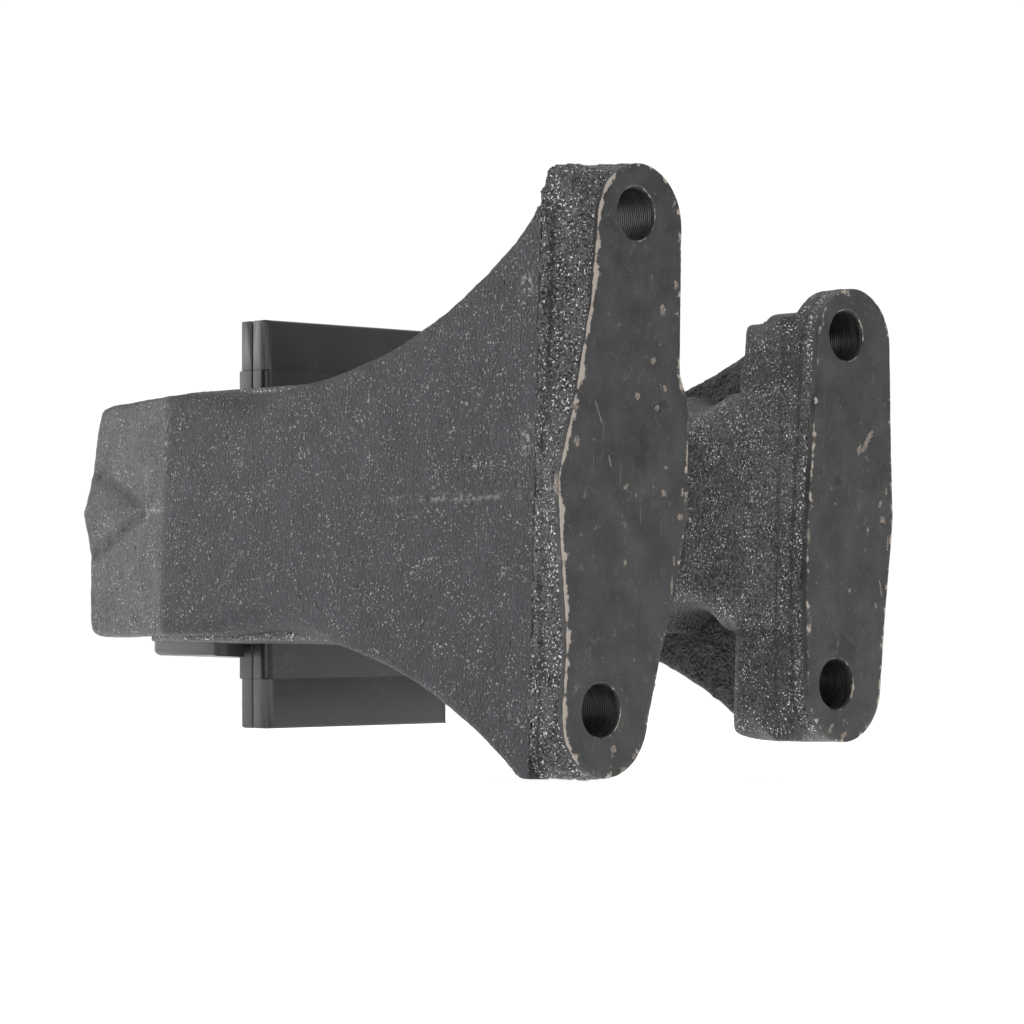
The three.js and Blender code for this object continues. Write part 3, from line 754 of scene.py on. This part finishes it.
def makeRib(name, nodes, values):
    piece = cadCopy(name, nodes)
    reskin(piece, values["fatten"], values["voxel"])
    if values["edge"]:
        roundRibEdges(piece, values)
        reskin(piece, 0.0, values["voxel"])
    mesh = piece.data
    places = readPlaces(mesh)
    notch = ramp(-places[:, 0], *ribSkin["notchFront"]) * ramp(places[:, 0], *ribSkin["notchBack"])
    places = relax(mesh, places, values["rounds"], 1 - ramp(places[:, 0], *ribSkin["sharp"]))
    places = relax(mesh, places, values["notchRounds"], notch * (np.abs(places[:, 2]) > ribSkin["notchFrom"]))
    writePlaces(mesh, places)
    normals = readNormals(mesh)
    depth = -places[:, 0]
    seed, outward = values["seed"], values["outward"]
    crumbs = 0.8 * lumps(places, ribSkin["coarse"], seed)
    crumbs = crumbs + 0.6 * np.abs(lumps(places, ribSkin["crumb"], seed + 1))
    band = 1 - ramp(depth, values["bandDepth"], values["bandDepth"] + 2.5 * mm)
    rise = values["grain"] * crumbs * (0.5 + 0.9 * band)
    rise = rise + ribSkin["wave"] * lumps(places, ribSkin["waveSize"], seed + 2)
    foot = bell(depth - ribSkin["footAt"], ribSkin["footWidth"]) * (normals[:, 1] < -0.5)
    rise = rise + values["ridge"] * foot * (0.35 + 0.8 * lumps(places, 2.4 * mm, seed + 3))
    rise = rise * ramp(depth, 0.9 * mm, 2.4 * mm) - 0.3 * mm * (1 - ramp(depth, 0.9 * mm, 2.2 * mm))
    fromBore = [np.hypot(places[:, 1] - cy * mm, places[:, 2] - cz * mm) for cy, cz in values["holes"]]
    inBore = np.min(fromBore, axis=0) < ribSkin["boreClear"]
    joined = (places[:, 1] * outward > values["wallSide"] * outward - 0.5 * mm) & (depth > 9 * mm)
    rise = np.where(inBore | joined, 0, rise)
    places = places + normals * (rise - values["fatten"])[:, None]
    places[:, 1] += np.where(joined, outward * 0.6 * mm, 0)  # runs into the wall behind it
    places[:, 0] = np.minimum(places[:, 0], -ribSkin["behind"])  # stays behind the machined face
    writePlaces(mesh, places)
    mark(mesh, "nubs", foot * ~inBore)
    # painted shade: dark lines along the pad's creases, through the crease attribute
    creaseAt = values["creaseDepth"] + 0.5 * mm * lumps(places, 6 * mm, seed + 5)
    creased = bell(depth - creaseAt, 0.5 * mm) + 0.8 * bell(depth - ribSkin["innerCrease"], 0.4 * mm)
    mark(mesh, "crease", np.clip(creased, 0, 1) * (normals[:, 1] < -0.5) * ~inBore)

    def skinOf(middle, normal):
        notched = (np.abs(normal[:, 1]) < 0.6) & (middle[:, 0] < ribSkin["joint"])
        onBand = (middle[:, 0] > -values["bandDepth"] - 0.4 * mm) & (normal[:, 0] < 0.8)
        height = middle[:, 2] - values["webMiddle"] + lumps(middle, 4 * mm, seed + 6) * mm
        onLug = np.abs(height) > values["webHalf"]
        return np.where(onBand, 1, np.where(notched, 2, np.where(onLug, 3, 0)))

    # notch faces take the dark copy, painted shade; the web takes the lighter copy, painted light
    paintFaces(mesh, [paint["webPaintedLight"], paint["band"], paint["dark"], paint["lug"]], skinOf)
    return piece


# machined faces
facePlate = {
    "step": 0.75 * mm, "bevel": 0.35 * mm, "nibble": 0.14 * mm, "holeBevel": 0.4 * mm, "holeSteps": 56,
    "rimWidth": 1.3 * mm, "holeRim": 0.6,
    "nearRim": lambda away: 0.42 + 0.5 * ramp(-away[:, 0], 0.5, 0.95),  # how worn, from the outward direction
    "farRim": lambda away: 0.4 + 0.12 * ramp(away[:, 0], 0.4, 0.9),
}


def outlineLoops(cadNode):
    # closed loops round the flat front of a pad: the outline first, then the holes
    shape = bmesh.new()
    shape.from_mesh(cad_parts[cadNode].data)
    bmesh.ops.remove_doubles(shape, verts=shape.verts, dist=1e-6)
    shape.normal_update()
    shape.verts.index_update()
    shape.faces.index_update()
    front = [f for f in shape.faces if f.normal.x > 0.9 and f.calc_center_median().x > -0.1 * mm]
    onFace = {f.index for f in front}
    nextOf = {}
    for face in front:
        for loop in face.loops:
            if not all(linked.index in onFace for linked in loop.edge.link_faces):
                nextOf[loop.vert.index] = loop.link_loop_next.vert.index
    spots = {v.index: v.co.copy() for v in shape.verts}
    shape.free()
    loops = []
    while nextOf:
        start = min(nextOf)  # a fixed start, so that every run gives the same outline
        step = nextOf.pop(start)
        ring = [start]
        while step != start:
            ring.append(step)
            step = nextOf.pop(step)
        loops.append(np.array([spots[i][1:] for i in ring]))
    return sorted(loops, key=lambda ring: -np.ptp(ring[:, 1]))


def resampled(ring, step):
    closed = np.vstack([ring, ring[:1]])
    lengths = np.hypot(*np.diff(closed, axis=0).T)
    along = np.concatenate([[0], np.cumsum(lengths)])
    count = int(along[-1] / step)
    wanted = np.linspace(0, along[-1], count, endpoint=False)
    return np.stack([np.interp(wanted, along, closed[:, axis]) for axis in range(2)], axis=1)


def outwardOf(ring):
    ahead = np.roll(ring, -1, axis=0) - np.roll(ring, 1, axis=0)
    away = np.stack([ahead[:, 1], -ahead[:, 0]], axis=1)
    return away / np.linalg.norm(away, axis=1, keepdims=True)


def makeFacePlate(name, cadNode, seed, material, wornRim):
    values = facePlate
    loops = outlineLoops(cadNode)
    outline = resampled(loops[0], values["step"])
    for _ in range(3):  # eases the corners of the faceted outline
        outline = outline * 0.5 + (np.roll(outline, 1, axis=0) + np.roll(outline, -1, axis=0)) * 0.25
    solid = np.column_stack([np.zeros(len(outline)), outline])
    bite = np.maximum(lumps(solid, 2.2 * mm, seed), 0) ** 2
    bite = bite + 0.5 * np.maximum(lumps(solid, 0.9 * mm, seed + 1), 0)
    outline = outline - outwardOf(outline) * (values["nibble"] * bite)[:, None]
    shape = bmesh.new()
    fills = {"front": [], "back": []}

    def ringAt(points, x):
        return [shape.verts.new((x, y, z)) for y, z in points]

    def skirt(rings):
        for upper, lower in zip(rings, rings[1:]):
            for i in range(len(upper)):
                j = (i + 1) % len(upper)
                shape.faces.new((upper[i], lower[i], lower[j], upper[j]))
        fills["front"].append(rings[0])
        fills["back"].append(rings[-1])

    bevel = values["bevel"] * (0.8 + 0.5 * lumps(solid, 3 * mm, seed + 2))
    away = outwardOf(outline)
    skirt([ringAt(outline - away * (bevel + values["rimWidth"])[:, None], 0.0),
           ringAt(outline - away * bevel[:, None], 0.0),
           ringAt(outline - away * (bevel * 0.35)[:, None], -0.1 * mm),
           ringAt(outline, -0.35 * mm), ringAt(outline, -faceDepth)])
    for hole in loops[1:]:
        middle = (hole.min(0) + hole.max(0)) / 2
        radius = np.hypot(*(hole - middle).T).max()
        turns = np.linspace(0, 2 * math.pi, values["holeSteps"], endpoint=False)
        circle = np.stack([np.cos(turns), np.sin(turns)], axis=1)
        if outwardOf(hole)[0] @ (hole[0] - middle) < 0:
            circle = circle[::-1]
        rings = [(radius + values["holeBevel"], 0.0), (radius + 0.12 * mm, -0.22 * mm), (radius, -0.5 * mm),
                 (radius, -faceDepth)]
        skirt([ringAt(middle + circle * reach, x) for reach, x in rings])
    for side, rings in fills.items():
        pairs = [(ring[i], ring[(i + 1) % len(ring)]) for ring in rings for i in range(len(ring))]
        edges = [shape.edges.get(pair) for pair in pairs]
        bmesh.ops.triangle_fill(shape, edges=edges, use_beauty=True, use_dissolve=False)
    bmesh.ops.recalc_face_normals(shape, faces=shape.faces)
    mesh = bpy.data.meshes.new(name)
    shape.to_mesh(mesh)
    shape.free()
    piece = bpy.data.objects.new(name, mesh)
    bpy.context.scene.collection.objects.link(piece)
    places = readPlaces(mesh)
    ring = np.arange(len(places)) // len(outline)  # rings 1 and 2 are the worn corner of the outline
    share = np.zeros(len(places))
    share[: 4 * len(outline)] = np.tile(wornRim(away), 4)
    lip = (places[:, 0] > -0.3 * mm) & (places[:, 0] < -0.05 * mm) & (ring > 3)
    mark(mesh, "rim", np.where((ring == 1) | (ring == 2), share, values["holeRim"] * lip))
    paintFaces(mesh, [material], lambda middle, normal: np.zeros(len(middle)))
    mesh.set_sharp_from_angle(angle=math.radians(28))
    return piece


walls = [makeNearWall(), makeFarWall()]
print("outer walls", [len(p.data.polygons) for p in walls])
ribs = [makeRib("near_rib_cast", ["near_flange", "near_rib"], nearRib),
        makeRib("far_rib_cast", ["far_flange", "far_rib"], farRib)]
print("ribs", [len(p.data.polygons) for p in ribs])
faces = [makeFacePlate("near_flange_face", "near_flange", 41, nearFacePaint, facePlate["nearRim"]),
         makeFacePlate("far_flange_face", "far_flange", 47, farFacePaint, facePlate["farRim"])]
print("faces", [len(p.data.polygons) for p in faces])


# bridge behind the insert
bridgeCast = {
    "voxel": 1.0 * mm, "rounds": 6, "waves": [(0.2 * mm, 2 * mm, 51), (0.15 * mm, 7 * mm, 52)],
    "highest": 0.05 * mm, "into": 0.6 * mm,
}


def makeBridge():
    values = bridgeCast
    piece = cadCopy("back_bridge_cast", ["back_bridge"])
    reskin(piece, 0.0, values["voxel"])
    mesh = piece.data
    places = relax(mesh, readPlaces(mesh), values["rounds"])
    writePlaces(mesh, places)
    normals = readNormals(mesh)
    places = places + normals * np.minimum(layered(places, values["waves"]), values["highest"])[:, None]
    endways = np.abs(normals[:, 1]) > 0.8  # its two ends run into the walls
    places[:, 1] += np.where(endways, np.sign(normals[:, 1]) * values["into"], 0)
    writePlaces(mesh, places)
    paintFaces(mesh, [paint["fan"]], lambda middle, normal: np.zeros(len(middle)))
    return piece


bridge = makeBridge()


# insert
insertShape = {
    "close": 0.16 * mm, "seam": 0.12 * mm, "edge": 0.6 * mm, "corner": 2.2 * mm, "outer": 3.0 * mm,
    "core": 1.6 * mm, "coreCorner": 3.0 * mm, "shoulder": 16 * mm, "segments": 4,
}
insertLevels = ("upper", "middle", "lower")
insertNodes = [f"{level}_{layer}" for layer in ("face_block", "backing") for level in insertLevels]


def roundedBlock(name, cadNode, chooser, material):
    # the chooser gives a bevel width for each edge from its middle and direction
    piece = cadCopy(name, [cadNode])
    shape = bmesh.new()
    shape.from_mesh(piece.data)
    bmesh.ops.dissolve_limit(shape, angle_limit=math.radians(1), verts=shape.verts, edges=shape.edges)
    layer = shape.edges.layers.float.new("bevel_weight_edge")
    widths = {}
    for edge in shape.edges:
        middle = (edge.verts[0].co + edge.verts[1].co) / 2
        along = (edge.verts[0].co - edge.verts[1].co).normalized()
        widths[edge] = chooser(middle, along)
    widest = max(widths.values())
    for edge, width in widths.items():
        edge[layer] = width / widest
    shape.to_mesh(piece.data)
    shape.free()
    bevel = piece.modifiers.new("edges", "BEVEL")
    bevel.limit_method = "WEIGHT"
    bevel.width = widest
    bevel.segments = insertShape["segments"]
    bevel.use_clamp_overlap = False
    settle(piece)
    paintFaces(piece.data, [material], lambda middle, normal: np.zeros(len(middle)))
    piece.data.set_sharp_from_angle(angle=math.radians(35))
    return piece


def makeInsert():
    values = insertShape
    pieces = []
    for cadNode in insertNodes:
        low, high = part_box(cadNode)
        isUpper, isLower = cadNode.startswith("upper"), cadNode.startswith("lower")
        isFace = "face" in cadNode

        def widthOf(middle, along):
            if abs(along.z) > 0.9:  # upright edges
                return values["corner"] if isFace and middle.x > (low.x + high.x) / 2 else values["edge"] * 0.5
            level = (middle.z - low.z) / (high.z - low.z)
            if (isUpper and level > 0.9) or (isLower and level < 0.1):  # the plate's own outline
                atCorner = abs(along.x) > 0.9 and middle.y > high.y - 1 * mm
                return values["outer"] if atCorner else values["edge"]
            return values["seam"]

        block = roundedBlock(cadNode + "_moulded", cadNode, widthOf, plateFinishPaintedShade)
        places = readPlaces(block.data)  # closes the hairline joint between the bands
        level = (places[:, 2] - low.z) / (high.z - low.z)
        places[:, 2] += values["close"] * ((level > 0.75) & (not isUpper))
        places[:, 2] -= values["close"] * ((level < 0.25) & (not isLower))
        writePlaces(block.data, places)
        pieces.append((block, cadNode))

    coreLow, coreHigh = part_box("insert_core")

    def coreWidth(middle, along):
        if middle.x > coreLow.x + values["shoulder"] and coreLow.y + 1 * mm < middle.y < coreHigh.y - 1 * mm:
            return 0.0  # the small shoulders beside the plate stay sharp
        return values["coreCorner"] if abs(along.z) > 0.9 else values["core"]

    pieces.append((roundedBlock("insert_core_moulded", "insert_core", coreWidth, coreFinish), "insert_core"))
    return pieces


insert = makeInsert()
print("insert", len(insert))


# bolt hole linings
boreLining = {
    "length": {"near": 13.0 * mm, "far": 19.0 * mm}, "wall": 0.5 * mm, "groove": 0.025 * mm, "pitch": 0.6 * mm,
    "radius": 5.62 * mm, "sunk": 0.7 * mm,
}


def makeBoreTree():
    # a sleeve round the X axis with fine turned grooves on its inner side
    tree, given, out = newGroup(
        "turnedSleeve", "GeometryNodeTree",
        [("Radius", "Float", 0.0055), ("Length", "Float", 0.018), ("Wall", "Float", 0.0005),
         ("Groove", "Float", 0.0001), ("Pitch", "Float", 0.001), ("Place", "Vector"), ("Material", "Material")],
        [("Geometry", "Geometry")],
    )
    loop = node(tree, "GeometryNodeCurvePrimitiveQuadrilateral",
                {"Width": given["Wall"], "Height": given["Length"]})
    fine = node(tree, "GeometryNodeResampleCurve", {"Curve": loop.outputs[0], "Count": 420})
    place = node(tree, "GeometryNodeInputPosition").outputs[0]
    parts = node(tree, "ShaderNodeSeparateXYZ", {0: place}).outputs
    turn = maths(tree, "MULTIPLY", maths(tree, "DIVIDE", parts["Y"], given["Pitch"]), 2 * math.pi)
    deep = maths(tree, "MULTIPLY", maths(tree, "SINE", turn), given["Groove"])
    shift = node(tree, "ShaderNodeCombineXYZ", {0: deep}).outputs[0]
    grooved = node(tree, "GeometryNodeSetPosition", {"Geometry": fine.outputs[0], "Offset": shift})
    path = node(tree, "GeometryNodeCurvePrimitiveCircle", {"Resolution": 48, "Radius": given["Radius"]})
    swept = node(tree, "GeometryNodeCurveToMesh", {"Curve": path.outputs[0], "Profile Curve": grooved.outputs[0]})
    turned = node(tree, "GeometryNodeTransform", {"Geometry": swept.outputs[0], "Rotation": (0, math.pi / 2, 0),
                                                 "Translation": given["Place"]})
    real = node(tree, "GeometryNodeRealizeInstances", {"Geometry": turned.outputs[0]})
    painted = node(tree, "GeometryNodeSetMaterial", {"Geometry": real.outputs[0], "Material": given["Material"]})
    tree.links.new(painted.outputs[0], out["Geometry"])
    return tree


def runTree(name, tree, values, mesh=None):
    # runs a geometry tree and keeps its result as a plain piece
    piece = bpy.data.objects.new(name, mesh or bpy.data.meshes.new(name))
    bpy.context.scene.collection.objects.link(piece)
    maker = piece.modifiers.new("maker", "NODES")
    maker.node_group = tree
    for item in tree.interface.items_tree:
        if item.in_out == "INPUT" and item.name in values:
            maker[item.identifier] = values[item.name]
    settle(piece)
    return piece


castNubs = {"density": 900000.0, "apart": 0.75 * mm, "small": 0.22, "large": 0.62, "radius": 0.75 * mm, "seed": 7}


def makeNubTree():
    # small round grains of sand and iron, scattered where the mesh's nubs attribute is high
    tree, given, out = newGroup(
        "castNubs", "GeometryNodeTree",
        [("Geometry", "Geometry"), ("Density", "Float", 1.0), ("Apart", "Float", 0.001), ("Small", "Float", 0.3),
         ("Large", "Float", 1.0), ("Radius", "Float", 0.0005), ("Seed", "Int", 1), ("Material", "Material")],
        [("Geometry", "Geometry")],
    )
    marked = node(tree, "GeometryNodeInputNamedAttribute", {"Name": "nubs"}, data_type="FLOAT")
    points = node(tree, "GeometryNodeDistributePointsOnFaces", {
        "Mesh": given["Geometry"], "Distance Min": given["Apart"], "Density Max": given["Density"],
        "Density Factor": marked.outputs["Attribute"], "Seed": given["Seed"]}, distribute_method="POISSON")
    grain = node(tree, "GeometryNodeMeshIcoSphere", {"Radius": given["Radius"], "Subdivisions": 2})
    size = node(tree, "FunctionNodeRandomValue",
                {2: given["Small"], 3: given["Large"], "Seed": given["Seed"]}).outputs[1]
    placed = node(tree, "GeometryNodeInstanceOnPoints", {
        "Points": points.outputs["Points"], "Instance": grain.outputs["Mesh"],
        "Rotation": points.outputs["Rotation"], "Scale": size})
    real = node(tree, "GeometryNodeRealizeInstances", {"Geometry": placed.outputs[0]})
    painted = node(tree, "GeometryNodeSetMaterial", {"Geometry": real.outputs[0], "Material": given["Material"]})
    tree.links.new(painted.outputs[0], out["Geometry"])
    return tree


boreTree = makeBoreTree()
linings = []
for label, ribValues in (("near", nearRib), ("far", farRib)):
    for place, (holeY, holeZ) in zip(("upper", "lower"), ribValues["holes"]):
        length = boreLining["length"][label]
        linings.append(runTree(f"{label}_{place}_bore", boreTree, {
            "Radius": boreLining["radius"], "Length": length, "Wall": boreLining["wall"],
            "Groove": boreLining["groove"], "Pitch": boreLining["pitch"], "Place": (-length / 2 - boreLining["sunk"], holeY * mm, holeZ * mm),
            "Material": boreFinish}))
print("bore linings", [len(p.data.polygons) for p in linings])
nubTree = makeNubTree()
nubs = runTree("near_foot_nubs", nubTree, {
    "Density": castNubs["density"], "Apart": castNubs["apart"], "Small": castNubs["small"],
    "Large": castNubs["large"], "Radius": castNubs["radius"], "Seed": castNubs["seed"], "Material": paint["band"]}, ribs[0].data.copy())
nubs.data.polygons.foreach_set("use_smooth", np.ones(len(nubs.data.polygons), bool))
print("cast nubs", len(nubs.data.polygons))


# place every piece on the frame
def seat(piece, slot, *nodes):
    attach(piece, "root")
    if nodes:
        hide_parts(*nodes)


seat(walls[0], "cast_body", "near_outer_wall")
seat(walls[1], "cast_body", "far_outer_wall")
seat(ribs[0], "cast_body", "near_rib")
seat(ribs[1], "cast_body", "far_rib")
seat(faces[0], "bolting_face", "near_flange")
seat(faces[1], "bolting_face", "far_flange")
seat(bridge, "cast_body", "back_bridge")
for piece, cadNode in insert:
    seat(piece, "insert", cadNode)
for lining in linings:
    seat(lining, "bolting_face")
seat(nubs, "cast_body")
